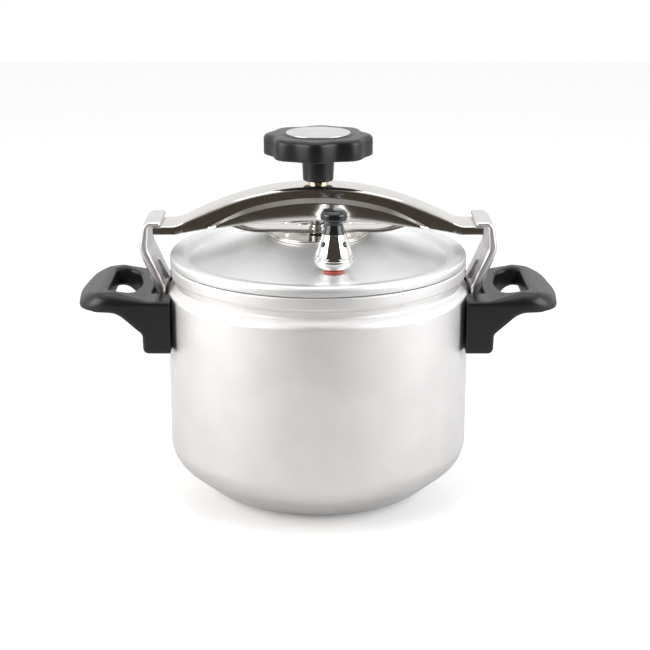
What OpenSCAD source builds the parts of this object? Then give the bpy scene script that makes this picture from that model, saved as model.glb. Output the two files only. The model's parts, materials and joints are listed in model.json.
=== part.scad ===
// Stovetop pressure cooker with a bridge closure.
// Origin: centre of the pot's flat base. +Z up, the handles lie along X, the weight valve at -Y.
// All lengths in millimetres, all angles in degrees.

/* [Pot] */
// Outer radius of the pot wall
pot_r = 110; // [108:0.5:112]
// Thickness of the pot wall
pot_wall = 3; // [2.5:0.1:3.2]
// Thickness of the pot base
base_t = 4.5; // [3.5:0.1:6]
// Radius of the base out to the slope that carries the wall
base_r = 78; // [74:1:82]
// Height at which the slope meets the wall
slope_z = 27; // [24:1:30]
// Height of the pot's rim above the table
rim_z = 171; // [170:0.5:172]
// Depth of the groove under the rim bead
neck_depth = 5.2; // [4:0.2:6]

/* [Lid] */
// Outer radius of the lid's rolled rim
lid_r = 107.6; // [107:0.2:108]
// Height of the crest of the rim above the rim's lower edge
lid_crest_h = 7; // [6:0.5:8]
// Radius of the channel inside the rim
channel_r = 92; // [90:0.5:93]
// Radius of the plateau in the middle
plateau_r = 39; // [38:0.5:42]
// Height of the plateau above the table
plateau_z = 189.6; // [188:0.2:190]
// Thickness of the lid
lid_t = 2.8; // [2.4:0.1:3]

/* [Bridge] */
// Width of the bar over its skirts
bar_w = 36; // [34:1:38]
// Width of the raised crown of the bar
crown_w = 31; // [29:0.5:32]
// Height of the bar's top at the centre above the table
bar_top_z = 227.2; // [226:0.2:228]
// Half length of the bar over its end tabs
bar_half = 118.5; // [117:0.5:119]
// Thickness of the bar's sheet
bar_t = 2.5; // [2:0.1:3]

/* [Screw and knob] */
// Diameter of the screw spindle
spindle_d = 12; // [11:0.5:12.5]
// Mean radius of the knob
knob_r = 37.4; // [35:0.2:39]
// Number of lobes on the knob
knob_lobes = 8; // [6:1:10]
// Height of the knob's disc above the table
knob_top_z = 265; // [264:0.2:266]

/* [Brackets and handles] */
// Width of the hook brackets along Y
lug_w = 44; // [42:1:46]
// Thickness of the bracket's sheet
lug_t = 3; // [2.5:0.1:3]
// Half width of the handles along Y
handle_hw = 46; // [44:1:48]
// Reach of the handles from the pot's axis
handle_reach = 174.6; // [172:0.2:176]

/* [Valves] */
// Distance of the valves from the bar's centre line
valve_y = 72; // [71:0.5:73]
// Offset of the valves along the bar
valve_x = 10.7; // [9:0.1:12]
// Largest radius of the weight
weight_r = 13.6; // [12:0.2:14]

/* [Hidden] */
$fn = 96;

run_gap = 0.05;     // radial clearance of a shank in its hole
face_gap = 0.4;     // clearance between faces that slide past each other
eps = 0.5;          // how far a cutter runs past the face it cuts

lid_edge_z = rim_z + 0.8;               // lower edge of the lid's rim
crest_z = lid_edge_z + lid_crest_h;
channel_z = lid_edge_z + 0.8;           // floor of the channel inside the lid's rim
boss_z = 180;                           // top of the flat bosses that carry the valves
boss_r = 8.5;
boss_low_z = 172.8;                      // flat face under the bosses, for the nuts
hook_z = bar_tab_top() + face_gap + 0.1;
rivet_r = 2.5;
rivet_z = [117, 137];
rivet_turn = 7.4;                       // rivets stand square to the wall at +- this turn
plate_r = pot_r + 0.3;                  // inner radius of the bracket's plate
plate_z0 = 112.5;
plate_z1 = 147;
handle_bolt_z = 122;
vent_bore_r = 1.6;
vent_r = 3.5;
cap_z = 207.5;                          // seam between the weight and its cap
weight_neck_r = 8;
safety_bore_r = 5;
bush_shank_r = 9;
bush_neck_r = 7.4;
bush_shoulder_z = 224.2;                // the bush bears on the bar from below here
disc_r = 23.2;
cup_r = 36.3;
cup_floor_z = plateau_z + 1;
leaf_z = 194.6;                         // top of the leaf's flat middle
leaf_t = 1.2;
spindle_r = spindle_d / 2;
stem_z = 229.7;                           // lower end of the knob's stem

// Points of an arc from angle a0 to a1 about [cx, cy].
function arc(cx, cy, r, a0, a1, steps = 8) =
    [for (i = [0:steps]) let(a = a0 + (a1 - a0) * i / steps) [cx + r * cos(a), cy + r * sin(a)]];

// How far an arc of radius r through the centre falls at x.
function sagitta(r, x) = r - sqrt(r * r - x * x);

// Unit normal of the step from a to b, to the left of the walk.
function left_normal(a, b) = let(d = b - a, l = norm(d)) [-d[1] / l, d[0] / l];

// A strip of even thickness t to the left of a list of points.
function strip(p, t) = concat(p, [for (i = [len(p) - 1:-1:0]) p[i] + t *
    (i == 0 ? left_normal(p[0], p[1]) :
     i == len(p) - 1 ? left_normal(p[i - 1], p[i]) :
     let(n = left_normal(p[i - 1], p[i]) + left_normal(p[i], p[i + 1])) 2 * n / (n * n))]);

module prism_y(width) {
    rotate([90, 0, 0]) translate([0, 0, -width / 2]) linear_extrude(width) children();
}

module tube(r, bore, h) {
    difference() {
        cylinder(r = r, h = h);
        translate([0, 0, -eps]) cylinder(r = bore, h = h + 2 * eps);
    }
}

module hex(across, h) {
    cylinder(r = across / sqrt(3), h = h, $fn = 6);
}

// ---- Pot ----

module pot_profile() {
    shoulder_z = 148;
    shoulder_r = 7;
    groove_z = 158.4;
    bead_r = 107.4;
    in_r = pot_r - pot_wall;
    neck_in_r = pot_r - neck_depth - pot_wall;
    slope = atan2(slope_z, pot_r - base_r);
    toe = 30;
    heel = 22;
    toe_x = base_r - toe * tan(slope / 2);
    heel_z = slope_z + heel * tan(45 - slope / 2);
    polygon(concat(
        [[0, 0]],
        arc(toe_x, toe, toe, -90, slope - 90, 6),
        arc(pot_r - heel, heel_z, heel, slope - 90, 0, 8),
        arc(pot_r - shoulder_r, shoulder_z, shoulder_r, 0, 52, 6),
        [[pot_r - neck_depth, groove_z - 1.6], [pot_r - neck_depth, groove_z + 1]],
        arc(bead_r - 3, groove_z + 5.4, 3, -50, 0, 4),
        arc(bead_r - 2.4, rim_z - 2.4, 2.4, 0, 90, 4),
        [[neck_in_r, rim_z], [neck_in_r, groove_z - 2]],
        [[in_r, shoulder_z]],
        arc(pot_r - heel, heel_z, heel - pot_wall, 0, slope - 90, 8),
        arc(toe_x, toe, toe - pot_wall, slope - 90, -70, 4),
        [[toe_x, base_t], [0, base_t]]
    ));
}

module rivet_cutters(side, r) {
    for (turn = [-rivet_turn, rivet_turn], z = rivet_z)
        rotate([0, 0, turn + (side < 0 ? 180 : 0)]) translate([pot_r - 12, 0, z])
            rotate([0, 90, 0]) cylinder(r = r, h = 24);
}

module pot_body() {
    color("gainsboro") difference() {
        rotate_extrude() pot_profile();
        for (side = [-1, 1]) rivet_cutters(side, rivet_r + run_gap);
    }
}

// ---- Hook brackets ----

function lug_inner() = concat(
    [[112.5, hook_z + 0.4], [114.5, hook_z]],
    [for (p = arc(117, hook_z - 4, 4, 90, 8, 5)) p],
    [[122.3, 185], [122.6, 181], [109.8, 155.5], [110.8, plate_z1 - 1]]
);

// Outline of the side flange: from the web's inner line out to the bracket's outer edge.
function lug_flange() = concat(
    [[116, hook_z + lug_t - 0.3], [121, hook_z + lug_t - 0.3]],
    [[125.5, hook_z + 0.8], [127.6, hook_z - 4], [128.2, 188], [127.8, 181], [126.2, 177], [119.3, 161]],
    [[113.9, plate_z1 + 0.6], [111.8, plate_z1 + 0.6], [111.2, 155.6], [123.8, 181], [123.4, 185]],
    [[121.6, hook_z - 4], [118, hook_z + 0.4]]
);

module lug_plate() {
    intersection() {
        translate([0, 0, plate_z0]) tube(plate_r + lug_t, plate_r, plate_z1 - plate_z0);
        translate([pot_r - 12, -lug_w / 2, plate_z0 - eps]) cube([24, lug_w, plate_z1 - plate_z0 + 2 * eps]);
    }
}

module right_lug_solid() {
    flange_t = 2.4;
    rib_from = [115.7, 171.5];
    rib_len = 16;
    lean = atan2(122.6 - 109.8, 181 - 155.5);
    difference() {
        union() {
            lug_plate();
            prism_y(lug_w) polygon(strip(lug_inner(), lug_t));
            for (side = [-1, 1]) translate([0, side * (lug_w - flange_t) / 2, 0])
                prism_y(flange_t) polygon(lug_flange());
            translate([rib_from[0], -2, rib_from[1]]) rotate([0, lean, 0])
                translate([0, 0, -rib_len]) cube([3.5, 4, rib_len]);
            translate([plate_r + 1, 0, handle_bolt_z]) rotate([0, 90, 0]) cylinder(r = 5, h = 6.7);
        }
        rivet_cutters(1, rivet_r + run_gap);
        translate([plate_r - 2, 0, handle_bolt_z]) rotate([0, 90, 0]) cylinder(r = 2.5, h = 14);
    }
}

module right_lug() {
    color("silver") right_lug_solid();
}

module left_lug() {
    color("silver") rotate([0, 0, 180]) right_lug_solid();
}

module right_rivets_solid() {
    inner_face = pot_r - pot_wall - 0.2;
    outer_face = plate_r + lug_t + 0.1;
    for (turn = [-rivet_turn, rivet_turn], z = rivet_z)
        rotate([0, 0, turn]) translate([0, 0, z]) rotate([0, 90, 0]) {
            translate([0, 0, inner_face - 1.8]) cylinder(r = 4.6, h = 1.8);
            translate([0, 0, inner_face - 1]) cylinder(r = rivet_r, h = outer_face - inner_face + 2);
            translate([0, 0, outer_face]) cylinder(r = 4.6, h = 1.8);
        }
}

module right_lug_rivets() {
    color("darkgray") right_rivets_solid();
}

module left_lug_rivets() {
    color("darkgray") rotate([0, 0, 180]) right_rivets_solid();
}

// ---- Handles ----

module handle_plan() {
    root_x = 105.3;
    corner = 9;
    corner_x = handle_reach - 14;
    bow = 160;
    polygon(concat(
        [[root_x, -handle_hw]],
        arc(corner_x, -handle_hw + corner, corner, -90, -8, 6),
        arc(handle_reach - bow, 0, bow, -13, 13, 6),
        arc(corner_x, handle_hw - corner, corner, 8, 90, 6),
        [[root_x, handle_hw]]
    ));
}

module handle_side() {
    polygon([
        [105, 112.4], [120.5, 112.6], [123, 113.8], [124.8, 116.6], [125.2, 120], [125.2, 126.6], [129, 129.6],
        [132.8, 133], [137, 136.9], [141, 139.8], [145.5, 141.9], [150, 142.7], [161, 143.3], [172, 143.4],
        [174, 144.4], [174.8, 146.4], [174.8, 149.5], [173, 152.4], [169, 155.4], [164, 157.6], [157, 159],
        [150, 159], [145, 158.2], [137, 155.8], [129, 153.4], [120, 151.4], [112, 151], [105, 151]
    ]);
}

module finger_hole_plan() {
    hole_mid = 144;
    hole_hw = 35;
    polygon(concat(
        [for (p = arc(0, 0, 1, 90, 270, 16)) [hole_mid + 15.5 * p[0], hole_hw * p[1]]],
        [[147.4, -33], [150.2, -28], [151, -22], [151, 22], [150.2, 28], [147.4, 33]]
    ));
}

module right_handle_solid() {
    pocket_hw = lug_w / 2 + 0.6;
    pocket_r = plate_r + lug_t + 2.4;
    difference() {
        intersection() {
            translate([0, 0, 100]) linear_extrude(70) handle_plan();
            prism_y(2 * handle_hw + 2) handle_side();
        }
        translate([0, 0, 100]) linear_extrude(70) finger_hole_plan();
        translate([0, 0, 100]) cylinder(r = pot_r + 0.35, h = 70);
        intersection() {
            translate([0, 0, 100]) cylinder(r = pocket_r, h = 70);
            translate([100, -pocket_hw, 100]) cube([30, 2 * pocket_hw, 70]);
        }
        translate([100, -pocket_hw, plate_z1 - 2.5]) cube([20.2, 2 * pocket_hw, 20]);
        translate([100, 0, handle_bolt_z]) rotate([0, 90, 0]) cylinder(r = 3.2, h = 60);
        translate([100, 0, handle_bolt_z]) rotate([0, 90, 0]) cylinder(r = 5.3, h = 18.3);
        translate([121.6, 0, handle_bolt_z]) rotate([0, 90, 0]) cylinder(r = 5.8, h = 30);
    }
}

module right_handle() {
    color("dimgray") right_handle_solid();
}

module left_handle() {
    color("dimgray") rotate([0, 0, 180]) right_handle_solid();
}

module right_handle_screw_solid() {
    head_x = 121.6;
    tip_x = plate_r + 2;
    translate([0, 0, handle_bolt_z]) rotate([0, 90, 0]) {
        translate([0, 0, tip_x]) cylinder(r = 2.45, h = head_x - tip_x + 0.5);
        difference() {
            translate([0, 0, head_x]) cylinder(r = 5.2, h = 3);
            translate([0, 0, head_x + 1.4]) hex(4, 3);
        }
    }
}

module right_handle_screw() {
    color("darkgray") right_handle_screw_solid();
}

module left_handle_screw() {
    color("darkgray") rotate([0, 0, 180]) right_handle_screw_solid();
}

// ---- Lid ----

module lid_profile() {
    slope = atan2(plateau_z - channel_z, channel_r - plateau_r);
    rim_arc_r = 6.2;
    under = [-lid_t * sin(slope), -lid_t * cos(slope)];
    groove_in = 99;
    groove_out = 105;
    polygon(concat(
        [[0, plateau_z], [plateau_r - 2, plateau_z], [plateau_r, plateau_z - 0.5]],
        [[channel_r - 2, channel_z + 0.5], [channel_r + 1, channel_z]],
        arc(channel_r + 1.6, channel_z + 2.4, 2.4, -80, -10, 4),
        arc(101.4, crest_z - 6.2, rim_arc_r, 150, 0, 10),
        [[lid_r, lid_edge_z + 0.4], [lid_r - 0.6, lid_edge_z], [groove_out, lid_edge_z]],
        [[groove_out, lid_edge_z + 3.2], [groove_in, lid_edge_z + 3.2], [groove_in, lid_edge_z - 1.6]],
        [[channel_r - 1, channel_z - lid_t]],
        [[plateau_r, plateau_z - 0.5] + under, [plateau_r - 3, plateau_z - lid_t], [0, plateau_z - lid_t]]
    ));
}

module at_vent() {
    translate([valve_x, -valve_y, 0]) children();
}

module at_safety() {
    translate([-valve_x, valve_y, 0]) children();
}

module lid() {
    spot_r = boss_r + 0.4;
    color("gainsboro") difference() {
        union() {
            rotate_extrude() lid_profile();
            at_vent() translate([0, 0, boss_low_z]) cylinder(r = boss_r, h = boss_z - boss_low_z);
            at_safety() translate([0, 0, boss_low_z]) cylinder(r = boss_r, h = boss_z - boss_low_z);
        }
        at_vent() translate([0, 0, boss_z]) cylinder(r = spot_r, h = 10);
        at_safety() translate([0, 0, boss_z]) cylinder(r = spot_r, h = 10);
        at_vent() translate([0, 0, 160]) cylinder(r = vent_r + run_gap, h = 40);
        at_safety() translate([0, 0, 160]) cylinder(r = safety_bore_r + run_gap, h = 40);
    }
}

module lid_gasket() {
    color("dimgray") translate([0, 0, rim_z]) tube(104.6, 99.4, 3.6);
}

module pressure_cup() {
    wall = 1;
    rim_h = 2;
    color("silver") rotate_extrude() polygon(concat(
        [[0, plateau_z], [cup_r - 2, plateau_z]],
        arc(cup_r - 1, plateau_z + 1, 1, -90, 0, 4),
        [[cup_r, cup_floor_z + rim_h - 0.5], [cup_r - 0.5, cup_floor_z + rim_h]],
        [[cup_r - wall, cup_floor_z + rim_h - 0.5], [cup_r - wall - 0.6, cup_floor_z]],
        [[0, cup_floor_z]]
    ));
}

// ---- Vent and weight ----

module vent_pipe() {
    foot_z = 167;
    tip_z = 199;
    color("silver") at_vent() difference() {
        union() {
            translate([0, 0, foot_z]) cylinder(r = vent_r, h = tip_z - foot_z);
            translate([0, 0, boss_z]) cylinder(r = 4.6, h = 2.8);
        }
        translate([0, 0, foot_z - eps]) cylinder(r = vent_bore_r, h = tip_z - foot_z + 2 * eps);
    }
}

module vent_pipe_nut() {
    color("silver") at_vent() translate([0, 0, boss_low_z - 3.6]) difference() {
        hex(12, 3.5);
        translate([0, 0, -eps]) cylinder(r = vent_r + run_gap, h = 5);
    }
}

module vent_seal() {
    color("indianred") at_vent() translate([0, 0, boss_z]) tube(7.2, 4.7, 2.3);
}

module weight_body() {
    z0 = boss_z + 3;
    cavity_top = 203;
    hole_z = 201.2;
    color("silver") at_vent() difference() {
        rotate_extrude() polygon(concat(
            [[0, z0], [8.6, z0]],
            arc(8.6, z0 + 5, 5, -80, 0, 6),
            [[weight_r, z0 + 6.6], [weight_r - 0.5, z0 + 7.4], [weight_r - 0.4, z0 + 10]],
            [[weight_neck_r, cap_z], [0, cap_z]]
        ));
        translate([0, 0, z0 - eps]) cylinder(r = 4.2, h = cavity_top - z0 + eps);
        translate([0, 0, cavity_top - eps]) cylinder(r = 1.5, h = 4.4);
        for (a = [45:90:315]) rotate([0, 0, a]) translate([0, 0, hole_z]) rotate([0, 90, 0])
            cylinder(r = 2, h = 20);
    }
}

module weight_cap() {
    neck_r = 6;
    bulb_z = cap_z + 11.6;
    top_z = cap_z + 16.1;
    color("dimgray") at_vent() rotate_extrude() polygon(concat(
        [[0, cap_z], [weight_neck_r, cap_z], [neck_r, cap_z + 6.4], [neck_r + 0.4, cap_z + 7.6]],
        arc(6.6, bulb_z, 2.9, -50, 70, 6),
        [[5.6, top_z - 1.4], [3.6, top_z - 0.3], [2, top_z], [0, top_z]]
    ));
}

module weight_needle() {
    color("silver") at_vent() rotate_extrude() polygon([
        [0, 199.4], [1.4, 201.2], [1.45, 202], [1.45, 206.8], [0, 206.8]
    ]);
}

// ---- Safety valve ----

module safety_body() {
    foot_z = 167;
    top_z = 198;
    color("silver") at_safety() difference() {
        union() {
            translate([0, 0, foot_z]) cylinder(r = safety_bore_r, h = 20);
            translate([0, 0, boss_z + 2.2]) hex(16, 6);
            translate([0, 0, boss_z + 7]) cylinder(r = 6.4, h = top_z - boss_z - 7);
        }
        translate([0, 0, 172]) cylinder(r = 3.9, h = 23.5);
        translate([0, 0, foot_z - eps]) cylinder(r = 2.2, h = 10);
        translate([0, 0, 190]) cylinder(r = 1.7, h = 12);
    }
}

module safety_nut() {
    color("silver") at_safety() translate([0, 0, boss_low_z - 3.9]) difference() {
        hex(15, 3.8);
        translate([0, 0, -eps]) cylinder(r = safety_bore_r + run_gap, h = 5);
    }
}

module safety_seal() {
    color("indianred") at_safety() translate([0, 0, boss_z]) tube(8.2, safety_bore_r + run_gap, 2.1);
}

module safety_poppet() {
    color("peru") at_safety() {
        translate([0, 0, 172.2]) cylinder(r = 3.6, h = 2);
        translate([0, 0, 173]) cylinder(r = 1.4, h = 26.5);
    }
}

// The coil rests on the poppet's disc and under the roof of the chamber.
module safety_spring() {
    coil_r = 2.6;
    wire_r = 0.35;
    turns = 7;
    z0 = 174.6;
    rise = 20.4;
    sides = 6;
    steps = turns * 14;
    function ring(i) = let(a = 360 * turns * i / steps) [for (k = [0:sides - 1])
        let(b = 360 * k / sides)
        [(coil_r + wire_r * cos(b)) * cos(a), (coil_r + wire_r * cos(b)) * sin(a),
         z0 + rise * i / steps + wire_r * sin(b)]];
    points = [for (i = [0:steps]) each ring(i)];
    skin = [for (i = [0:steps - 1], k = [0:sides - 1]) let(a = i * sides, n = (k + 1) % sides)
        [a + k, a + n, a + sides + n, a + sides + k]];
    caps = [[for (k = [sides - 1:-1:0]) k], [for (k = [0:sides - 1]) steps * sides + k]];
    color("darkgray") at_safety() polyhedron(points, concat(skin, caps), convexity = 10);
}

// ---- Bridge ----

function bar_tab_top() = bar_top_z - 27.9;
function bar_top(x) = bar_top_z - sagitta(197, x);
function bar_low(x) = 203.4 - sagitta(490, x);
function bar_step(x) = 216.4 - sagitta(172, x);
kink_x = 101;

module bar_side(top_drop = 0, low_rise = 0, half = 118.5) {
    steps = 14;
    polygon(concat(
        [[-half, bar_tab_top() - top_drop]],
        [for (i = [-steps:steps]) let(x = kink_x * i / steps) [x, bar_top(x) - top_drop]],
        [[half, bar_tab_top() - top_drop], [half, bar_low(kink_x) + low_rise]],
        [for (i = [steps:-1:-steps]) let(x = kink_x * i / steps) [x, bar_low(x) + low_rise]],
        [[-half, bar_low(kink_x) + low_rise]]
    ));
}

// Region under the pressed step, where the skirts stand out to the bar's full width.
module under_step() {
    reach = 77;
    steps = 12;
    polygon(concat(
        [[-reach, 180]],
        [for (i = [-steps:steps]) let(x = reach * i / steps) [x, bar_step(x)]],
        [[reach, 180]]
    ));
}

module bridge_bar() {
    crown_in = crown_w - 2 * bar_t;
    color("silver") difference() {
        union() {
            prism_y(crown_w) bar_side(half = bar_half);
            prism_y(bar_w) intersection() {
                bar_side(half = bar_half);
                under_step();
            }
            for (side = [-1, 1]) translate([side > 0 ? 86 : -bar_half, -bar_w / 2, bar_tab_top() - 2.8])
                cube([bar_half - 86, bar_w, 2.8]);
        }
        prism_y(crown_in) intersection() {
            bar_side(top_drop = bar_t, low_rise = -6, half = bar_half - 12);
            translate([-97, 150]) square([194, 100]);
        }
        translate([0, 0, 200]) cylinder(r = bush_neck_r + run_gap, h = 40);
    }
}

module bar_bush() {
    z_low = 214;
    z_top = stem_z - 0.5;
    color("goldenrod") difference() {
        union() {
            translate([0, 0, z_low]) cylinder(r = bush_shank_r, h = bush_shoulder_z - z_low);
            translate([0, 0, z_low]) cylinder(r = bush_neck_r, h = z_top - z_low);
        }
        translate([0, 0, z_low - eps]) cylinder(r = spindle_r + 0.08, h = z_top - z_low + 2 * eps);
    }
}

module bar_bush_nut() {
    nut_h = 6.2;
    color("goldenrod") translate([0, 0, bush_shoulder_z - nut_h]) difference() {
        hex(24, nut_h);
        translate([0, 0, -eps]) cylinder(r = bush_shank_r + run_gap, h = nut_h + 2 * eps);
    }
}

module leaf_spring() {
    flat_half = 40;
    bend_r = 58;
    bend = 28;
    leaf_w = 25;
    right_end = [for (p = arc(flat_half, leaf_z + bend_r, bend_r, -90, -90 + bend, 6)) p];
    left_end = [for (i = [len(right_end) - 1:-1:0]) [-right_end[i][0], right_end[i][1]]];
    color("silver") difference() {
        prism_y(leaf_w) polygon(strip(concat([for (i = [len(right_end) - 1:-1:0]) right_end[i]],
            [for (i = [len(left_end) - 1:-1:0]) left_end[i]]), leaf_t));
        translate([0, 0, leaf_z - 4]) cylinder(r = spindle_r + 2, h = 8);
    }
}

// ---- Screw and knob ----

module pressure_foot() {
    z0 = cup_floor_z + 0.3;
    color("silver") rotate_extrude() polygon([
        [0, z0], [6.4, z0], [7, z0 + 0.8], [7, z0 + 4.2], [6.2, z0 + 5], [3.2, z0 + 5], [3.2, z0 + 2], [0, z0 + 2]
    ]);
}

module spindle() {
    z0 = cup_floor_z + 0.3;
    tip_r = 3.1;
    color("silver") difference() {
        union() {
            translate([0, 0, z0 + 2.1]) cylinder(r = tip_r, h = 4);
            translate([0, 0, z0 + 5.1]) cylinder(r = spindle_r, h = 256 - z0 - 5.1);
        }
        translate([0, 0, 244]) cylinder(r = 2.5, h = 14);
    }
}

// Deep and shallow notches take turns round the knob, so its ridges differ too.
function knob_outline(inset) = [for (a = [0:2.5:357.5]) let(turn = a + 91.5)
    (knob_r - inset + 1.6 * cos(knob_lobes * turn) + cos(knob_lobes / 2 * turn + 90)) * [cos(a), sin(a)]];

module knob() {
    z_low = 248.5;
    color("dimgray") difference() {
        union() {
            translate([0, 0, z_low + 1.6]) linear_extrude(10.1) polygon(knob_outline(0));
            translate([0, 0, z_low]) linear_extrude(14.7) polygon(knob_outline(2));
            rotate_extrude() polygon([
                [0, stem_z], [10.6, stem_z], [11.2, stem_z + 0.8], [11.4, 245.4], [12.2, 247.4], [14.4, 249], [0, 249]
            ]);
            translate([0, 0, 262]) cylinder(r = disc_r + 1.7, h = 2);
        }
        translate([0, 0, stem_z - eps]) cylinder(r = spindle_r + run_gap, h = 256.1 - stem_z + eps);
        translate([0, 0, 255]) cylinder(r = 2.8, h = 12);
        translate([0, 0, 258]) cylinder(r = 5.4, h = 8);
        translate([0, 0, 263.2]) cylinder(r = disc_r + 0.3, h = 3);
    }
}

module knob_disc() {
    color("silver") rotate_extrude() polygon([
        [0, 263.4], [disc_r - 0.3, 263.4], [disc_r, 263.8], [disc_r - 0.3, 264.3], [19, 264.8],
        [8, knob_top_z], [0, knob_top_z]
    ]);
}

module knob_screw() {
    color("darkgray") {
        translate([0, 0, 246]) cylinder(r = 2.45, h = 13);
        difference() {
            translate([0, 0, 258.1]) cylinder(r = 5, h = 3.4);
            translate([0, 0, 260]) hex(4, 3);
        }
    }
}

pot_body();
left_lug();
right_lug();
left_lug_rivets();
right_lug_rivets();
left_handle();
right_handle();
left_handle_screw();
right_handle_screw();
lid();
lid_gasket();
pressure_cup();
vent_pipe();
vent_pipe_nut();
vent_seal();
weight_body();
weight_cap();
weight_needle();
safety_body();
safety_nut();
safety_seal();
safety_spring();
safety_poppet();
bridge_bar();
bar_bush();
bar_bush_nut();
leaf_spring();
pressure_foot();
spindle();
knob();
knob_disc();
knob_screw();
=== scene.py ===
"""Visual model of the stovetop pressure cooker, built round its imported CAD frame."""

import json
import math

import bmesh
import bpy
import numpy as np
import openvdb as vdb
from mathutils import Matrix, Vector

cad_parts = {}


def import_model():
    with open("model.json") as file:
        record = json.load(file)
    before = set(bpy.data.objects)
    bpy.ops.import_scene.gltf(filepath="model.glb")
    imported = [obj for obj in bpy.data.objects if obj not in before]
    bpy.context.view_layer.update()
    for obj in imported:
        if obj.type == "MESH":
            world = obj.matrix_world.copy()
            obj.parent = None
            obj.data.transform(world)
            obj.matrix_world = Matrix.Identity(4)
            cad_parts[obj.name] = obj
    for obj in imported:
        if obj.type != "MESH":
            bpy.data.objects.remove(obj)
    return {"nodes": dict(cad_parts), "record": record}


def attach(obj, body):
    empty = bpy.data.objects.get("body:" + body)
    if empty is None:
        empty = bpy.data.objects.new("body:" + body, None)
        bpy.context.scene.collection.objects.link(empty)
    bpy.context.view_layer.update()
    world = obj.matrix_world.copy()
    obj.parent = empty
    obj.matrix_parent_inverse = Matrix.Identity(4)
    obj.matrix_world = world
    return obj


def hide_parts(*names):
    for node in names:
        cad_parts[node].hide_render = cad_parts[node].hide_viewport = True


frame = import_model()


def write_size():
    """Brings the scene's placements up to date."""
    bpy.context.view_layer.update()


write_size()

# Lengths are in millimetres, down to the studio, which is in metres. Heights are above the table.
MM = 0.001
# Outside of the pot's wall and top of its rim
POT_R = 110
RIM_Z = 171
# Outside of the lid's rolled rim, the rim's crest, the plateau in the middle and the valves' seats
LID_R = 107.6
CREST_Z = 178.8
PLATEAU_Z = 189.6
BOSS_Z = 180
# Place of the weight valve; the safety valve is opposite
VALVE = (10.7, -72)
SAFETY = (-VALVE[0], -VALVE[1])
# Top of the weight's metal body
CAP_Z = 207.5
# Top of the bar in the middle and at its end tabs, and the underside of the hooks over the tabs
BAR_TOP_Z = 227.2
TAB_Z = 199.3
HOOK_Z = 199.8
# Lower end of the knob's stem, mean radius of the knob and its number of lobes
STEM_Z = 229.7
KNOB_R = 37.4
LOBES = 8

RECORD = frame["record"]
BODY_OF = {node: body for body, nodes in RECORD["behaviour"]["bodies"].items() for node in nodes}
SLOT_OF = {part["node"]: part["material_slot"] for part in RECORD["subparts"]}


# ---- Shapes ----


# Least turn in radians that gets an arc, and the step between the points laid where there is none
ALMOST_STRAIGHT = 0.01
TINY_STEP = 0.02


def rounded(corners, closed=False, count=5):
    """Points along a line through (x, y, radius) corners, each turned into an arc of count steps."""
    points = []
    last = len(corners) - 1
    for i, (x, y, radius) in enumerate(corners):
        if radius == 0 or (not closed and i in (0, last)):
            points.append((x, y))
            continue
        here = np.array([x, y], float)
        back = np.array(corners[i - 1][:2]) - here
        ahead = np.array(corners[(i + 1) % len(corners)][:2]) - here
        back_len = np.linalg.norm(back)
        ahead_len = np.linalg.norm(ahead)
        back = back / back_len
        ahead = ahead / ahead_len
        turn = math.pi - math.acos(float(np.clip(back @ ahead, -1, 1)))
        if turn < ALMOST_STRAIGHT:
            points += [tuple(here + ahead * TINY_STEP * (k - count / 2)) for k in range(count + 1)]
            continue
        reach = min(radius * math.tan(turn / 2), 0.49 * back_len, 0.49 * ahead_len)
        radius = reach / math.tan(turn / 2)
        middle = back + ahead
        centre = here + middle / np.linalg.norm(middle) * math.hypot(radius, reach)
        spoke = here + back * reach - centre
        sign = math.copysign(1, ahead[0] * back[1] - ahead[1] * back[0])
        for k in range(count + 1):
            angle = sign * turn * k / count
            cos, sin = math.cos(angle), math.sin(angle)
            x_turned = centre[0] + cos * spoke[0] - sin * spoke[1]
            y_turned = centre[1] + sin * spoke[0] + cos * spoke[1]
            points.append((x_turned, y_turned))
    return points


def skin(rings, closed=False):
    """Vertices and faces through successive rings of equal length, or single points at the ends."""
    verts = []
    starts = []
    for ring in rings:
        starts.append(len(verts))
        verts += ring
    faces = []
    pairs = list(zip(range(len(rings)), range(1, len(rings))))
    if closed:
        pairs.append((len(rings) - 1, 0))
    for i, j in pairs:
        a, b = starts[i], starts[j]
        na, nb = len(rings[i]), len(rings[j])
        for k in range(max(na, nb)):
            n = k + 1
            if na == 1:
                faces.append((a, b + n % nb, b + k))
            elif nb == 1:
                faces.append((a + k, a + n % na, b))
            else:
                faces.append((a + k, a + n % na, b + n % nb, b + k))
    return verts, faces


def lathe(profile, steps, at=(0, 0), lobes=None):
    """A profile of (radius, height) points turned about a vertical line.

    Where lobes is given, lobes(index of the point, angle in radians) is added to the radius.
    """
    rings = []
    for i, (radius, height) in enumerate(profile):
        if radius < 1e-6:
            rings.append([(at[0], at[1], height)])
            continue
        ring = []
        for k in range(steps):
            angle = 2 * math.pi * k / steps
            reach = radius + (lobes(i, angle) if lobes else 0)
            ring.append((at[0] + reach * math.cos(angle), at[1] + reach * math.sin(angle), height))
        rings.append(ring)
    both_on_axis = len(rings[0]) == 1 and len(rings[-1]) == 1
    return skin(rings, closed=not both_on_axis)


def loft(sections):
    """A closed body through sections, each a closed loop of points, with flat ends."""
    verts, faces = skin(sections)
    size = len(sections[0])
    total = len(verts)
    return verts, faces + [tuple(range(size - 1, -1, -1)), tuple(range(total - size, total))]


def together(*shapes):
    """Several shapes as one."""
    verts, faces = [], []
    for more_verts, more_faces in shapes:
        start = len(verts)
        verts += list(more_verts)
        faces += [tuple(index + start for index in face) for face in more_faces]
    return verts, faces


def turned_round(shape):
    """The shape turned half a turn about the pot's axis."""
    verts, faces = shape
    return [(-x, -y, z) for x, y, z in verts], faces


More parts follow.
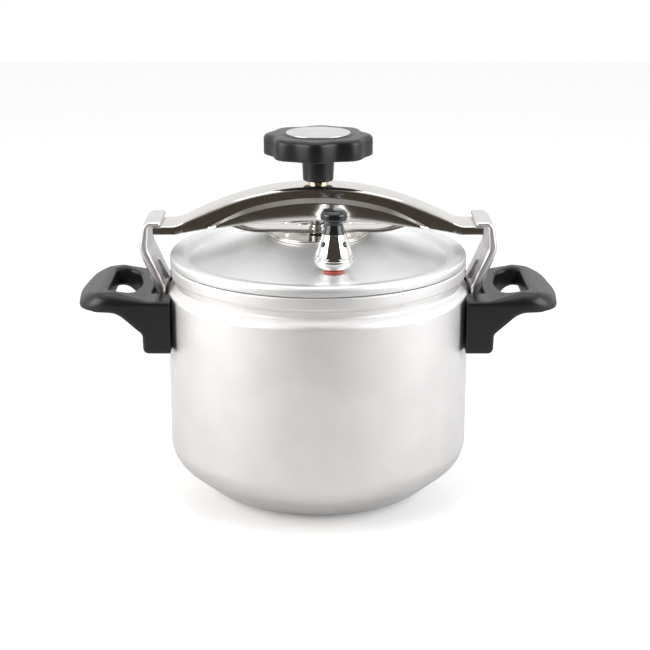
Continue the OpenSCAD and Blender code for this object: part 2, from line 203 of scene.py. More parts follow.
def outline(points):
    """Signed distance to a closed outline, as a function of two coordinates."""
    starts = np.array(points, float)
    ends = np.roll(starts, -1, axis=0)

    def distance(u, v):
        u, v = np.broadcast_arrays(u, v)
        best = np.full(u.shape, 1e9)
        inside = np.zeros(u.shape, bool)
        for (ax, ay), (bx, by) in zip(starts, ends):
            ex, ey = bx - ax, by - ay
            length = ex * ex + ey * ey
            if length < 1e-9:
                continue
            along = np.clip(((u - ax) * ex + (v - ay) * ey) / length, 0, 1)
            best = np.minimum(best, np.hypot(u - ax - along * ex, v - ay - along * ey))
            if ay != by:
                inside ^= ((ay > v) != (by > v)) & (u < ex * (v - ay) / ey + ax)
        return np.where(inside, -best, best)

    return distance


def both(a, b, radius):
    """Distance to what two solids share, with the edge between them rounded."""
    near_edge = np.hypot(np.maximum(a + radius, 0), np.maximum(b + radius, 0))
    return np.minimum(np.maximum(a, b), -radius) + near_edge


def either(a, b, radius):
    """Distance to two solids joined by a fillet."""
    return -both(-a, -b, radius)


def carve(field, low, high, step):
    """The zero surface of field(x, y, z), a signed distance, inside the box from low to high."""
    axes = [np.arange(a, b + step, step) for a, b in zip(low, high)]
    x, y, z = np.meshgrid(*axes, indexing="ij", sparse=True)
    size = tuple(len(axis) for axis in axes)
    values = np.ascontiguousarray(np.broadcast_to(field(x, y, z), size), dtype=np.float32)
    grid = vdb.FloatGrid(float(step * 3))
    grid.copyFromArray(values)
    points, _, quads = grid.convertToPolygons(isovalue=0.0, adaptivity=0.0)
    points = points * step + np.array(low)
    return [tuple(point) for point in points.tolist()], [tuple(quad) for quad in quads.tolist()]


def soften(bm, rounds):
    """Evens out the small facets of a carved surface."""
    for _ in range(rounds):
        bmesh.ops.smooth_vert(
            bm, verts=bm.verts, factor=0.5, use_axis_x=True, use_axis_y=True, use_axis_z=True,
        )


def piece(name, shape, material, *nodes, sharp=32, rounds=0):
    """A visible piece that stands for CAD nodes and moves with their body.

    Edges sharper than sharp degrees stay hard, and rounds is how often a carved shape is smoothed.
    """
    verts, faces = shape
    mesh = bpy.data.meshes.new(name)
    mesh.from_pydata([(x * MM, y * MM, z * MM) for x, y, z in verts], [], faces)
    bm = bmesh.new()
    bm.from_mesh(mesh)
    bmesh.ops.remove_doubles(bm, verts=bm.verts, dist=1e-6)
    bmesh.ops.recalc_face_normals(bm, faces=bm.faces)
    soften(bm, rounds)
    bm.to_mesh(mesh)
    bm.free()
    mesh.shade_smooth()
    mesh.set_sharp_from_angle(angle=math.radians(sharp))
    mesh.materials.append(material)
    obj = bpy.data.objects.new(name, mesh)
    bpy.context.scene.collection.objects.link(obj)
    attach(obj, BODY_OF[nodes[0]])
    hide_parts(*nodes)
    return obj


# ---- Materials ----


def new_material(name):
    """An empty node material with its tree and shader."""
    material = bpy.data.materials.new(name)
    material.use_nodes = True
    tree = material.node_tree
    return material, tree, tree.nodes["Principled BSDF"]


def math_node(tree, operation, first, second):
    """The result of one arithmetic step on two sockets or numbers."""
    node = tree.nodes.new("ShaderNodeMath")
    node.operation = operation
    for socket, value in zip(node.inputs, (first, second)):
        if isinstance(value, (int, float)):
            socket.default_value = value
        else:
            tree.links.new(value, socket)
    return node.outputs[0]


def grain_space(tree, grain):
    """Coordinates whose noise runs along the grain: "rings" about Z, "strokes" along X, or "even"."""
    place = tree.nodes.new("ShaderNodeTexCoord").outputs["Object"]
    if grain == "even":
        return place
    split = tree.nodes.new("ShaderNodeSeparateXYZ")
    tree.links.new(place, split.inputs[0])
    x, y, z = split.outputs
    join = tree.nodes.new("ShaderNodeCombineXYZ")
    if grain == "rings":
        x_square = math_node(tree, "MULTIPLY", x, x)
        y_square = math_node(tree, "MULTIPLY", y, y)
        radius = math_node(tree, "SQRT", math_node(tree, "ADD", x_square, y_square), 0.0)
        parts = (radius, math_node(tree, "MULTIPLY", x, 0.02), z)
    else:
        parts = (math_node(tree, "MULTIPLY", x, 0.03), y, z)
    for socket, value in zip(join.inputs, parts):
        tree.links.new(value, socket)
    return join.outputs[0]


def noise(tree, space, scale):
    """Noise with about scale bumps to the metre."""
    node = tree.nodes.new("ShaderNodeTexNoise")
    node.inputs["Scale"].default_value = scale
    node.inputs["Detail"].default_value = 3.0
    tree.links.new(space, node.inputs["Vector"])
    return node.outputs["Fac"]


def spread(tree, value, low, high):
    """Maps the middle of a noise onto low..high."""
    node = tree.nodes.new("ShaderNodeMapRange")
    node.inputs["From Min"].default_value = 0.3
    node.inputs["From Max"].default_value = 0.7
    node.inputs["To Min"].default_value = low
    node.inputs["To Max"].default_value = high
    tree.links.new(value, node.inputs["Value"])
    return node.outputs["Result"]


def blend_colour(tree, value, dark, light):
    """Maps the middle of a noise onto the colours from dark to light."""
    node = tree.nodes.new("ShaderNodeValToRGB")
    node.color_ramp.elements[0].position = 0.3
    node.color_ramp.elements[0].color = (*dark, 1)
    node.color_ramp.elements[1].position = 0.7
    node.color_ramp.elements[1].color = (*light, 1)
    tree.links.new(value, node.inputs["Fac"])
    return node.outputs["Color"]


def bump(tree, shader, height, depth):
    """Raises the surface by depth millimetres where height is 1."""
    node = tree.nodes.new("ShaderNodeBump")
    node.inputs["Distance"].default_value = depth * MM
    tree.links.new(height, node.inputs["Height"])
    tree.links.new(node.outputs["Normal"], shader.inputs["Normal"])


def metal(name, dark, light, rough, grain, scale, depth, anisotropy=0.0):
    """A metal whose colour, roughness and fine relief follow its polishing lines."""
    material, tree, shader = new_material(name)
    lines = noise(tree, grain_space(tree, grain), scale)
    clouds = noise(tree, grain_space(tree, "even"), 35)
    shader.inputs["Metallic"].default_value = 1.0
    tree.links.new(blend_colour(tree, clouds, dark, light), shader.inputs["Base Color"])
    tree.links.new(spread(tree, lines, *rough), shader.inputs["Roughness"])
    bump(tree, shader, lines, depth)
    if anisotropy:
        shader.inputs["Anisotropic"].default_value = anisotropy
        tangent = tree.nodes.new("ShaderNodeTangent")
        tangent.direction_type = "RADIAL"
        tangent.axis = "Z"
        tree.links.new(tangent.outputs["Tangent"], shader.inputs["Tangent"])
    return material


def moulded(name, dark, light, rough, scale, depth, coat=0.0):
    """A moulded plastic or rubber with a fine even texture."""
    material, tree, shader = new_material(name)
    texture = noise(tree, grain_space(tree, "even"), scale)
    clouds = noise(tree, grain_space(tree, "even"), 40)
    tree.links.new(blend_colour(tree, clouds, dark, light), shader.inputs["Base Color"])
    tree.links.new(spread(tree, texture, *rough), shader.inputs["Roughness"])
    shader.inputs["Coat Weight"].default_value = coat
    shader.inputs["Coat Roughness"].default_value = 0.12
    bump(tree, shader, texture, depth)
    return material


SPUN = metal(
    "spun_aluminium", dark=(0.87, 0.86, 0.85), light=(0.92, 0.91, 0.90), rough=(0.50, 0.58),
    grain="rings", scale=1400, depth=0.004, anisotropy=0.3,
)
LID_SPUN = metal(
    "lid_aluminium", dark=(0.84, 0.845, 0.85), light=(0.89, 0.895, 0.90), rough=(0.46, 0.54),
    grain="rings", scale=1400, depth=0.004, anisotropy=0.3,
)
SHEET = metal(
    "pressed_steel", dark=(0.76, 0.74, 0.75), light=(0.84, 0.82, 0.83), rough=(0.30, 0.38),
    grain="even", scale=900, depth=0.003,
)
MIRROR = metal(
    "polished_steel", dark=(0.76, 0.74, 0.71), light=(0.82, 0.80, 0.77), rough=(0.09, 0.14),
    grain="strokes", scale=1500, depth=0.0008,
)
CHROME = metal(
    "chrome", dark=(0.82, 0.81, 0.80), light=(0.88, 0.88, 0.87), rough=(0.03, 0.06),
    grain="even", scale=700, depth=0.0006,
)
STEEL = metal(
    "machined_steel", dark=(0.64, 0.63, 0.61), light=(0.74, 0.73, 0.71), rough=(0.22, 0.32),
    grain="even", scale=1100, depth=0.003,
)
BRASS = metal(
    "brass", dark=(0.78, 0.64, 0.42), light=(0.86, 0.73, 0.52), rough=(0.14, 0.22),
    grain="even", scale=1000, depth=0.003,
)
DISC = metal(
    "brushed_disc", dark=(0.72, 0.72, 0.73), light=(0.82, 0.82, 0.83), rough=(0.18, 0.28),
    grain="rings", scale=2600, depth=0.006, anisotropy=0.5,
)
BAKELITE = moulded(
    "bakelite", dark=(0.008, 0.0075, 0.008), light=(0.012, 0.011, 0.012), rough=(0.28, 0.38),
    scale=2200, depth=0.006,
)
GLOSS = moulded(
    "gloss_plastic", dark=(0.008, 0.010, 0.011), light=(0.014, 0.017, 0.018), rough=(0.10, 0.16),
    scale=900, depth=0.001, coat=0.5,
)
RED = moulded(
    "red_silicone", dark=(0.48, 0.08, 0.06), light=(0.58, 0.12, 0.09), rough=(0.35, 0.5),
    scale=1500, depth=0.004,
)
RUBBER = moulded(
    "black_rubber", dark=(0.030, 0.030, 0.030), light=(0.05, 0.05, 0.05), rough=(0.6, 0.75),
    scale=1500, depth=0.008,
)
MATERIAL_OF = {
    "aluminium": SPUN,
    "bracket_steel": SHEET,
    "bakelite": BAKELITE,
    "polished_steel": MIRROR,
    "chrome": CHROME,
    "valve_plastic": GLOSS,
    "gasket_rubber": RUBBER,
    "red_silicone": RED,
    "brass": BRASS,
    "steel": STEEL,
    "disc_metal": DISC,
}


# ---- Pot and lid ----


def pot():
    """Flat base, slope, wall, shoulder, neck groove and rim bead, then back down the inside."""
    wall = 3
    inner_r = POT_R - wall
    neck_r = POT_R - 5.2
    inner_neck_r = neck_r - wall
    bead_r = 107.4
    floor_z = 4.4
    profile = rounded([
        (0, 0, 0), (78, 0, 30), (POT_R, 27, 22), (POT_R, 151.4, 7), (neck_r, 156.2, 1.8),
        (neck_r, 160.2, 1.6), (bead_r, 162.6, 2.2), (bead_r, RIM_Z + 0.3, 1.4),
        (inner_neck_r, RIM_Z, 0.8), (inner_neck_r, 156.6, 2), (inner_r, 148.6, 5),
        (inner_r, 28.4, 19), (78.6, floor_z, 27), (0, floor_z, 0),
    ], count=16)
    piece("pot_shell", lathe(profile, 256), SPUN, "pot_body", sharp=40)


def lid_boss(at):
    """A flat seat that flares into the lid's cone, with a turned face under it."""
    low_z = 172.8
    seat = rounded([
        (0, low_z, 0), (8.5, low_z, 0.3), (8.5, low_z + 1.6, 0.3), (19, low_z + 1.8, 0.3),
        (11.5, BOSS_Z - 2.6, 7), (8.4, BOSS_Z, 1.8), (0, BOSS_Z, 0),
    ])
    return lathe(seat, 72, at)


def lid():
    """The underside from the middle out, round the rolled rim, and back over channel and cone."""
    edge_z = RIM_Z + 0.8
    ceiling_z = PLATEAU_Z - 2.8
    profile = rounded([
        (0, ceiling_z, 0), (36.6, ceiling_z, 6), (91, 169.8, 3), (99, 170.2, 0.6), (99, 175, 0.8),
        (105, 175, 0.8), (105, edge_z, 0.3), (LID_R, edge_z, 0.6), (LID_R, CREST_Z, 6.2),
        (97.9, CREST_Z, 5.6), (94.2, 172.5, 2.2), (91, 172.8, 5), (39, PLATEAU_Z, 4),
        (0, PLATEAU_Z, 0),
    ], count=12)
    shape = together(lathe(profile, 256), lid_boss(VALVE), lid_boss(SAFETY))
    piece("lid_shell", shape, LID_SPUN, "lid", sharp=40)


def cup():
    """The low dish on the lid's plateau."""
    floor_z = PLATEAU_Z + 1
    profile = rounded([
        (0, PLATEAU_Z, 0), (36.3, PLATEAU_Z, 1.2), (36.3, floor_z + 2, 0.45), (35.3, floor_z + 2, 0.45),
        (34.8, floor_z, 0.9), (0, floor_z, 0),
    ])
    piece("cup_dish", lathe(profile, 128), MIRROR, "pressure_cup")


# ---- Valves ----


def drilled(shape, holes):
    """The shape with cylinders of (start, direction, length, radius) taken out of it."""
    def solid(name, verts, faces):
        mesh = bpy.data.meshes.new(name)
        mesh.from_pydata(verts, [], faces)
        bm = bmesh.new()
        bm.from_mesh(mesh)
        bmesh.ops.recalc_face_normals(bm, faces=bm.faces)
        bm.to_mesh(mesh)
        bm.free()
        obj = bpy.data.objects.new(name, mesh)
        bpy.context.scene.collection.objects.link(obj)
        return obj

    body = solid("drill_body", *shape)
    tools = []
    for start, direction, length, radius in holes:
        rod = [(0, 0), (radius, 0), (radius, length), (0, length)]
        tool = solid("drill_tool", *lathe(rod, 40))
        tool.rotation_mode = "QUATERNION"
        tool.rotation_quaternion = Vector(direction).to_track_quat("Z", "Y")
        tool.location = start
        modifier = body.modifiers.new("hole", "BOOLEAN")
        modifier.operation = "DIFFERENCE"
        modifier.object = tool
        tools.append(tool)
    bpy.context.view_layer.update()
    result = body.evaluated_get(bpy.context.evaluated_depsgraph_get()).to_mesh()
    verts = [tuple(vert.co) for vert in result.vertices]
    faces = [tuple(polygon.vertices) for polygon in result.polygons]
    for obj in (body, *tools):
        bpy.data.objects.remove(obj)
    return verts, faces


def weight():
    """The metal weight with its four steam holes, and the plastic cap on it."""
    foot_z = BOSS_Z + 3
    cavity_z, cavity_r = 203, 4.2
    profile = rounded([
        (0, cavity_z, 0), (cavity_r, cavity_z, 0.3), (cavity_r, foot_z, 0.3), (8.2, foot_z, 0.5),
        (11.6, foot_z + 1.3, 3), (13.6, foot_z + 5.4, 2), (13.6, foot_z + 6.8, 0.4),
        (13.05, foot_z + 7.3, 0.3), (13.2, foot_z + 10, 4), (8, CAP_Z, 0.25), (0, CAP_Z, 0),
    ])
    hole_z, hole_r, hole_length = 201.2, 2, 20
    holes = []
    for quarter in range(4):
        angle = math.radians(45 + 90 * quarter)
        outward = (math.cos(angle), math.sin(angle), 0)
        holes.append(((*VALVE, hole_z), outward, hole_length, hole_r))
    shell = drilled(lathe(profile, 144, VALVE), holes)
    piece("weight_shell", shell, CHROME, "weight_body", sharp=28)
    top_z = CAP_Z + 16.1
    cap = rounded([
        (0, CAP_Z, 0), (7.9, CAP_Z, 0.3), (6.1, CAP_Z + 6.4, 1.5), (6.5, CAP_Z + 8, 1.5),
        (9.3, CAP_Z + 9.8, 2.2), (9.3, CAP_Z + 14, 2), (7, top_z, 1.6), (0, top_z, 0),
    ])
    piece("weight_knob", lathe(cap, 112, VALVE), GLOSS, "weight_cap")


def seals():
    """The red rings under the two valves."""
    def ring(radius, bore, height):
        top_z = BOSS_Z + height
        corners = [(radius, BOSS_Z, 0.8), (radius, top_z, 0.8), (bore, top_z, 0.3), (bore, BOSS_Z, 0.3)]
        return rounded(corners, closed=True)

    piece("vent_ring", lathe(ring(7.2, 4.7, 2.3), 96, VALVE), RED, "vent_seal")
    piece("safety_ring", lathe(ring(8.2, 5.05, 2.1), 96, SAFETY), RED, "safety_seal")


# ---- Bridge ----


def sagitta(radius, x):
    """How far an arc through the centre falls at x."""
    return radius - math.sqrt(radius * radius - x * x)


def smooth_max(a, b, width):
    """The larger of a and b, with a smooth change where they are within width of each other."""
    h = max(width - abs(a - b), 0) / width
    return max(a, b) + h * h * width / 4


def bar_section(x):
    """Closed section of the pressed bar at x: crown, ledge and skirts of one sheet."""
    reach = abs(x)
    sheet = 2.5
    top_arc, low_arc, ledge_arc = 197, 490, 172
    top_end, low_end, tab_start = 112, 101, 97
    top = smooth_max(BAR_TOP_Z - sagitta(top_arc, min(reach, top_end)), TAB_Z, 3)
    low = 203.4 - sagitta(low_arc, min(reach, low_end))
    ledge = 216.4 - sagitta(ledge_arc, reach)
    # The ledge sticks out less, and its slope is lower, where it runs into the skirts' edge
    out = 2.5 * min(max((ledge - low) / 2.2, 0), 1)
    rise = 3.6 * min(max((ledge - low) / 8, 0.25), 1)
    ledge = max(ledge, low + 1.2)
    half = 15.5 + 1.5 * min(max((reach - tab_start) / 6, 0), 1)
    wide = half + out
    inner = half - sheet
    crown = min(5.5, (top - low) * 0.45)
    inner_ledge = min(ledge, top - sheet - 0.2) - 0.2
    right = [
        (half, top, crown), (half, ledge + rise, 1.2), (wide, ledge - 0.2, 1.4), (wide, low, 0.5),
        (wide - sheet, low, 0.5), (inner, inner_ledge, 0.5), (inner, top - sheet, 3),
    ]
    left = [(-y, z, radius) for y, z, radius in reversed(right)]
    loop = rounded(right + left, closed=True, count=6)
    return [(x, y, z) for y, z in loop]


def bar():
    """Sections along the bar, closer together where its skirts run into the end tabs."""
    half_len, steps = 118.5, 90
    tab_start, tab_step, tab_count = 70, 0.5, 80
    along = [half_len * math.sin(math.pi / 2 * k / steps) for k in range(-steps, steps + 1)]
    at_tabs = [side * (tab_start + tab_step * k) for side in (-1, 1) for k in range(tab_count)]
    sections = [bar_section(x) for x in sorted(set(along + at_tabs))]
    piece("bar_shell", loft(sections), MIRROR, "bridge_bar", sharp=35)


def bush():
    """The threaded bush: a shank below the bar and a neck through it."""
    low_z, shoulder_z, high_z = 214, 224.2, STEM_Z - 0.5
    bore_r, shank_r, neck_r = 6.1, 9, 7.4
    profile = rounded([
        (bore_r, low_z, 0.3), (shank_r, low_z, 0.5), (shank_r, shoulder_z, 0.2),
        (neck_r, shoulder_z, 0.1), (neck_r, high_z, 0.5), (bore_r, high_z, 0.3),
    ], closed=True)
    piece("bush_ring", lathe(profile, 96), BRASS, "bar_bush")


def leaf():
    """The thin strip under the bar, flat in the middle and curling up at both ends."""
    top_z = 194.6
    flat, bend_r, bend, half_w, sheet = 40, 58, math.radians(28), 12.5, 1.2

    def section(s):
        """Section at the signed distance s along the leaf."""
        side = 1 if s >= 0 else -1
        turn = max(abs(s) - flat, 0) / bend_r
        x = side * (min(abs(s), flat) + bend_r * math.sin(turn))
        z = top_z - sheet + bend_r * (1 - math.cos(turn))
        corners = [(-half_w, 0), (half_w, 0), (half_w, sheet), (-half_w, sheet)]
        across = rounded([(y, up, 0.4) for y, up in corners], closed=True, count=3)
        return [(x - side * math.sin(turn) * up, y, z + math.cos(turn) * up) for y, up in across]

    length = flat + bend_r * bend
    steps = 40
    sections = [section(length * k / steps) for k in range(-steps, steps + 1)]
    piece("leaf_strip", loft(sections), MIRROR, "leaf_spring")


# ---- Screw and knob ----


def spindle():
    """The rod: a thin tip, a thread up to the knob's stem, and plain inside the knob."""
    low_z, high_z = 195.7, 256
    rod_r, tip_r, tip_length = 6, 3.1, 2.7
    pitch, groove_depth, groove_width, fade = 3, 0.75, 0.36, 2
    sides, level_step = 48, 0.3

    def ring(z, reach_at):
        """A ring of sides points at height z, as far out as reach_at(side) says."""
        points = []
        for k in range(sides):
            angle = 2 * math.pi * k / sides
            points.append((reach_at(k) * math.cos(angle), reach_at(k) * math.sin(angle), z))
        return points

    def thread(z):
        """The threaded rod's radius at height z, as a function of the side."""
        share = min(1, (z - low_z) / fade, max(0, (STEM_Z - z) / fade))

        def reach_at(k):
            phase = (z / pitch - k / sides) % 1
            groove = groove_depth * max(0, 1 - abs(phase - 0.5) / groove_width)
            return rod_r - groove * share

        return reach_at

    rings = [[(0, 0, low_z - tip_length)]]
    for z in (low_z - tip_length, low_z):
        rings.append(ring(z, lambda k: tip_r))
    for i in range(int((high_z - low_z) / level_step) + 1):
        z = low_z + level_step * i
        rings.append(ring(z, thread(z)))
    rings.append([(0, 0, high_z)])
    piece("screw_rod", skin(rings), STEEL, "spindle", sharp=50)


def foot():
    """The button under the spindle, with a socket for its tip."""
    low_z = PLATEAU_Z + 1.3
    high_z, socket_z = low_z + 5, low_z + 2
    foot_r, socket_r = 7, 3.2
    profile = rounded([
        (0, low_z, 0), (foot_r, low_z, 0.8), (foot_r, high_z, 0.9), (socket_r, high_z, 0.3),
        (socket_r, socket_z, 0.3), (0, socket_z, 0),
    ])
    piece("foot_button", lathe(profile, 72), STEEL, "pressure_foot")


def split_long(profile, beyond, longest):
    """The profile with each stretch past the radius beyond cut into steps of about longest."""
    points = []
    for (r0, z0), (r1, z1) in zip(profile, profile[1:]):
        steps = max(1, int(abs(r1 - r0) / longest)) if max(r0, r1) > beyond else 1
        points += [(r0 + (r1 - r0) * k / steps, z0 + (z1 - z0) * k / steps) for k in range(steps)]
    return points + [profile[-1]]


def knob():
    """The grip, whose lobes are at its edge and differ in turn, and the disc let into it."""
    low_z, top_z, lip_z = 248.5, 263.2, 264
    bore_r, bore_top = 6.05, 256.1
    disc_r = 23.2
    recess_r = disc_r + 0.3
    profile = split_long(rounded([
        (0, bore_top, 0), (bore_r, bore_top, 0.2), (bore_r, STEM_Z, 0.4), (10.9, STEM_Z, 0.9),
        (11.4, 240, 4), (11.5, low_z, 1.6), (KNOB_R, low_z, 1.2), (KNOB_R, top_z, 3.4),
        (26.2, 263.4, 1.5), (24.9, lip_z, 0.6), (recess_r, lip_z, 0.4), (recess_r, top_z, 0.2),
        (0, top_z, 0),
    ], count=7), beyond=24, longest=1.5)
    blend_from, blend_to = 28, 34
    depth, unevenness, first_lobe = 1.6, 1, math.radians(91.5)

    def lobes(i, angle):
        share = min(max((profile[i][0] - blend_from) / (blend_to - blend_from), 0), 1)
        share = share * share * (3 - 2 * share)
        turn = angle + first_lobe
        wave = depth * math.cos(LOBES * turn) - unevenness * math.sin(LOBES / 2 * turn)
        return share * wave

    piece("knob_grip", lathe(profile, 320, lobes=lobes), BAKELITE, "knob", sharp=40)
    plate_z, crown_z = 263.4, 265
    disc = rounded([
        (0, plate_z, 0), (disc_r, plate_z, 0.3), (disc_r, 264.4, 0.4), (20.8, 264.6, 0.5),
        (19.6, 264.3, 0.4), (18.4, 264.8, 1), (8, crown_z, 4), (0, crown_z, 0),
    ])
    piece("knob_plate", lathe(disc, 128), DISC, "knob_disc", sharp=25)


# ---- Brackets and handles ----

# The bracket's curved foot: its inner radius, and its lower and upper edge
PLATE_R = POT_R + 0.3
PLATE_Z = (112.5, 147)
# Thickness of the bracket and height of the screw that holds the handle on it
LUG_T = 3
BOLT_Z = 122


def lug_field(x, y, z):
    """A hook bracket: a channel-shaped web with a rib, on a curved foot with a boss for the screw."""
    half_w = 22
    foot_top = PLATE_Z[1] - 1
    web_in = rounded([
        (112.5, HOOK_Z + 0.4, 0), (114.5, HOOK_Z, 1), (120.8, HOOK_Z, 4.4), (121.8, 183, 8),
        (109.8, 155.5, 3), (110.8, foot_top, 0),
    ])
    edge = rounded([
        (112.7, HOOK_Z + 3.4, 0), (125.4, HOOK_Z + 3.3, 6), (128.5, 184, 12), (126.2, 176.5, 8),
        (113.9, foot_top, 0),
    ])
    full = outline(web_in + edge[::-1])(x, z)
    pot_side = outline(web_in + [(90, foot_top), (90, HOOK_Z + 0.4)])(x, z)
    web = np.abs(pot_side - LUG_T / 2) - LUG_T / 2
    across = np.abs(y) - half_w
    flange_t = 3.2
    channel = both(0.01 - web, across + flange_t, 3.6)
    top_cover = outline([(80, HOOK_Z - 0.6), (150, HOOK_Z - 0.6), (150, 230), (80, 230)])(x, z)
    channel = both(channel, -top_cover, 1.5)
    body = both(full, across, 2.6)
    body = both(body, -channel, 0.8)
    lean = outline([(108.4, 157), (115.7, 171.5), (119.2, 171.5), (111.9, 157)])(x, z)
    rib_hw = 2.2
    rib = both(lean, np.abs(y) - rib_hw, 1.4)
    body = either(body, rib, 1.2)
    shell = np.abs(np.hypot(x, y) - PLATE_R - LUG_T / 2) - LUG_T / 2
    middle_z = sum(PLATE_Z) / 2
    height = np.abs(z - middle_z) - (PLATE_Z[1] - PLATE_Z[0]) / 2
    plate = both(both(shell, height, 0.6), across, 0.6)
    plate = np.maximum(plate, 90 - x)
    boss_r, boss_x, boss_half = 5, 114, 4
    boss = np.maximum(np.hypot(y, z - BOLT_Z) - boss_r, np.abs(x - boss_x) - boss_half)
    return np.minimum(either(body, plate, 1.5), boss)


def lugs():
    """The right bracket, and the same turned round for the left one."""
    shape = carve(lug_field, (102, -24, 110), (131, 24, 206), 0.4)
    piece("right_bracket", shape, SHEET, "right_lug", rounds=2, sharp=60)
    piece("left_bracket", turned_round(shape), SHEET, "left_lug", rounds=2, sharp=60)


def handle_field(x, y, z):
    """A loop whose top edges are rounder than its lower ones, more so away from the pot."""
    hw, reach, root_x = 46, 174.6, 105.3
    behind, beyond = 96, 190

    def plan(end_y, corner):
        """The loop from above, with a bowed end and round corners."""
        return outline(rounded([
            (behind, -hw, 0), (reach - 5, -hw, corner), (reach, -end_y, 60), (reach, end_y, 60),
            (reach - 5, hw, corner), (behind, hw, 0),
        ], closed=True, count=12))(x, y)

    under = outline(rounded([
        (behind, 112.4, 0), (124.9, 112.4, 4), (125.3, 126.6, 4), (143, 142.4, 16),
        (162, 143.3, 4), (beyond, 143.5, 0), (beyond, 190, 0), (behind, 190, 0),
    ], closed=True, count=10))(x, z)
    over = outline(rounded([
        (behind, 151, 0), (122, 151.2, 14), (146, 156.8, 12), (157, 156, 10), (174, 151, 3),
        (beyond, 146, 0), (beyond, 100, 0), (behind, 100, 0),
    ], closed=True, count=10))(x, z)
    edge = 2.5 + 5.5 * np.clip((x - 122) / 20, 0, 1)
    body = np.maximum(both(plan(10, 9), under, 2.5), both(plan(3, 32), over, edge))
    top_z, taper = 156, 0.12
    hole = rounded([
        (151, -34, 20), (151, 34, 20), (133.4, 31, 20), (127.6, 0, 60), (133.4, -31, 20),
    ], closed=True, count=20)
    opening = outline(hole)(x, y) + taper * (top_z - z)
    body = both(body, -opening, 2.4)
    pocket_hw = 22.6
    beside = np.abs(y) - pocket_hw
    pocket = np.maximum(np.hypot(x, y) - (PLATE_R + LUG_T + 2.4), beside)
    notch = np.maximum(np.maximum(x - 120.2, beside), (PLATE_Z[1] - 2.5) - z)
    wall = np.hypot(x, y) - (POT_R + 0.35)
    bolt = np.hypot(y, z - BOLT_Z)
    shank_r, head_r, boss_r = 3.2, 5.8, 5.3
    head_x, boss_x = 121.6, 118.3
    bore = np.minimum(bolt - shank_r, np.maximum(bolt - head_r, head_x - x))
    bore = np.minimum(bore, np.maximum(bolt - boss_r, x - boss_x))
    for cut in (pocket, notch, wall, bore):
        body = np.maximum(body, -cut)
    return np.maximum(body, root_x - x)


def handles():
    """The right handle, and the same turned round for the left one."""
    shape = carve(handle_field, (102, -48, 109), (178, 48, 161), 0.6)
    piece("right_grip", shape, BAKELITE, "right_handle", rounds=2, sharp=50)
    piece("left_grip", turned_round(shape), BAKELITE, "left_handle", rounds=2, sharp=50)


# ---- Studio, in metres ----


def dress_cad_nodes():
    """Gives the CAD nodes that stay visible the material of their slot."""
    for name, obj in frame["nodes"].items():
        if obj.hide_render:
            continue
        obj.data.materials.clear()
        obj.data.materials.append(MATERIAL_OF[SLOT_OF[name]])


def floor():
    """A glossy table for the camera, which lights the object like a dim matt one."""
    material, tree, shader = new_material("pale_floor")
    texture = noise(tree, grain_space(tree, "even"), 60)
    colour = blend_colour(tree, texture, (0.93, 0.93, 0.93), (0.95, 0.95, 0.95))
    tree.links.new(colour, shader.inputs["Base Color"])
    shader.inputs["Roughness"].default_value = 0.12
    shader.inputs["Emission Color"].default_value = (1, 1, 1, 1)
    shader.inputs["Emission Strength"].default_value = 0.18
    shader.inputs["Specular IOR Level"].default_value = 1.0
    dim = tree.nodes.new("ShaderNodeBsdfDiffuse")
    dim.inputs["Color"].default_value = (0.6, 0.6, 0.6, 1)
    mix = tree.nodes.new("ShaderNodeMixShader")
    tree.links.new(tree.nodes.new("ShaderNodeLightPath").outputs["Is Camera Ray"], mix.inputs[0])
    tree.links.new(dim.outputs[0], mix.inputs[1])
    tree.links.new(shader.outputs[0], mix.inputs[2])
    tree.links.new(mix.outputs[0], tree.nodes["Material Output"].inputs["Surface"])
    mesh = bpy.data.meshes.new("studio_floor")
    mesh.from_pydata([(-2.2, -0.6, 0), (2.2, -0.6, 0), (2.2, 2.5, 0), (-2.2, 2.5, 0)], [], [(0, 1, 2, 3)])
    mesh.materials.append(material)
    obj = bpy.data.objects.new("studio_floor", mesh)
    bpy.context.scene.collection.objects.link(obj)


def softbox(name, place, target, size, power, colour):
    """A rectangular lamp at place, turned towards target."""
    light = bpy.data.lights.new(name, "AREA")
    light.shape = "RECTANGLE"
    light.size, light.size_y = size
    light.energy = power
    light.color = colour
    obj = bpy.data.objects.new(name, light)
    obj.location = place
    obj.rotation_euler = (Vector(target) - Vector(place)).to_track_quat("-Z", "Y").to_euler()
    bpy.context.scene.collection.objects.link(obj)


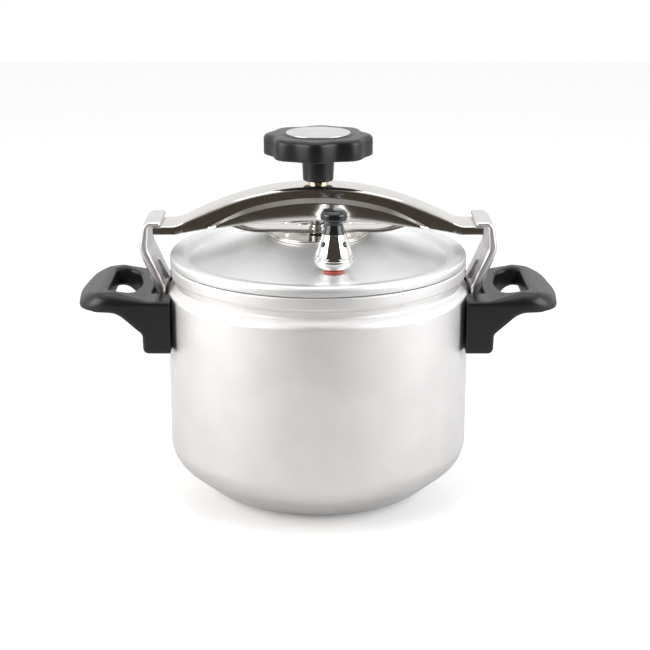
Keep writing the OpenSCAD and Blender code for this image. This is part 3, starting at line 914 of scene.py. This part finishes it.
def world():
    """White backdrop for the camera; for reflections a bright back, a dim front and a pale ceiling."""
    surroundings = bpy.data.worlds.new("studio")
    surroundings.use_nodes = True
    bpy.context.scene.world = surroundings
    tree = surroundings.node_tree
    background = tree.nodes["Background"]
    direction = tree.nodes.new("ShaderNodeTexCoord").outputs["Generated"]
    split = tree.nodes.new("ShaderNodeSeparateXYZ")
    tree.links.new(direction, split.inputs[0])
    ramp = tree.nodes.new("ShaderNodeValToRGB")
    ramp.color_ramp.interpolation = "EASE"
    ramp.color_ramp.elements[0].position = 0.25
    ramp.color_ramp.elements[0].color = (0.06, 0.05, 0.04, 1)
    ramp.color_ramp.elements[1].position = 0.6
    ramp.color_ramp.elements[1].color = (0.9, 0.9, 0.9, 1)
    depth = math_node(tree, "ADD", math_node(tree, "MULTIPLY", split.outputs[1], 0.5), 0.5)
    height = math_node(tree, "SUBTRACT", split.outputs[2], 0.4)
    tree.links.new(math_node(tree, "MAXIMUM", depth, height), ramp.inputs["Fac"])
    tree.links.new(ramp.outputs["Color"], background.inputs["Color"])
    backdrop = tree.nodes.new("ShaderNodeBackground")
    backdrop.inputs["Color"].default_value = (1, 1, 1, 1)
    mix = tree.nodes.new("ShaderNodeMixShader")
    tree.links.new(tree.nodes.new("ShaderNodeLightPath").outputs["Is Camera Ray"], mix.inputs[0])
    tree.links.new(background.outputs[0], mix.inputs[1])
    tree.links.new(backdrop.outputs[0], mix.inputs[2])
    tree.links.new(mix.outputs[0], tree.nodes["World Output"].inputs["Surface"])


def camera():
    """Straight in front, looking a little down at the middle of the pot."""
    distance, elevation = 1.150, math.radians(16.8)
    target = Vector((0, 0, 0.120))
    data = bpy.data.cameras.new("camera")
    data.lens = 86.05
    data.sensor_width = 36
    data.shift_x = 0.0105
    data.shift_y = 0.0012
    obj = bpy.data.objects.new("camera", data)
    obj.location = target + distance * Vector((0, -math.cos(elevation), math.sin(elevation)))
    obj.rotation_euler = (math.pi / 2 - elevation, 0, 0)
    bpy.context.scene.collection.objects.link(obj)
    bpy.context.scene.camera = obj


def studio():
    """Table, surroundings, a lamp on each side, one overhead, and the camera."""
    floor()
    world()
    softbox("left_box", (-1.25, -0.55, 0.62), (0, 0, 0.12), (1.1, 1.1), 16.5, (1.0, 0.985, 0.96))
    softbox("right_box", (1.25, -0.55, 0.62), (0, 0, 0.12), (1.1, 1.1), 15, (0.98, 0.985, 1.0))
    softbox("ceiling_box", (0, 0.2, 1.7), (0, 0.05, 0.1), (1.6, 1.2), 6, (0.97, 0.98, 1.0))
    camera()
    bpy.context.scene.view_settings.view_transform = "Standard"


pot()
lid()
cup()
weight()
seals()
bar()
bush()
leaf()
spindle()
foot()
knob()
lugs()
handles()
dress_cad_nodes()
studio()
write_size()
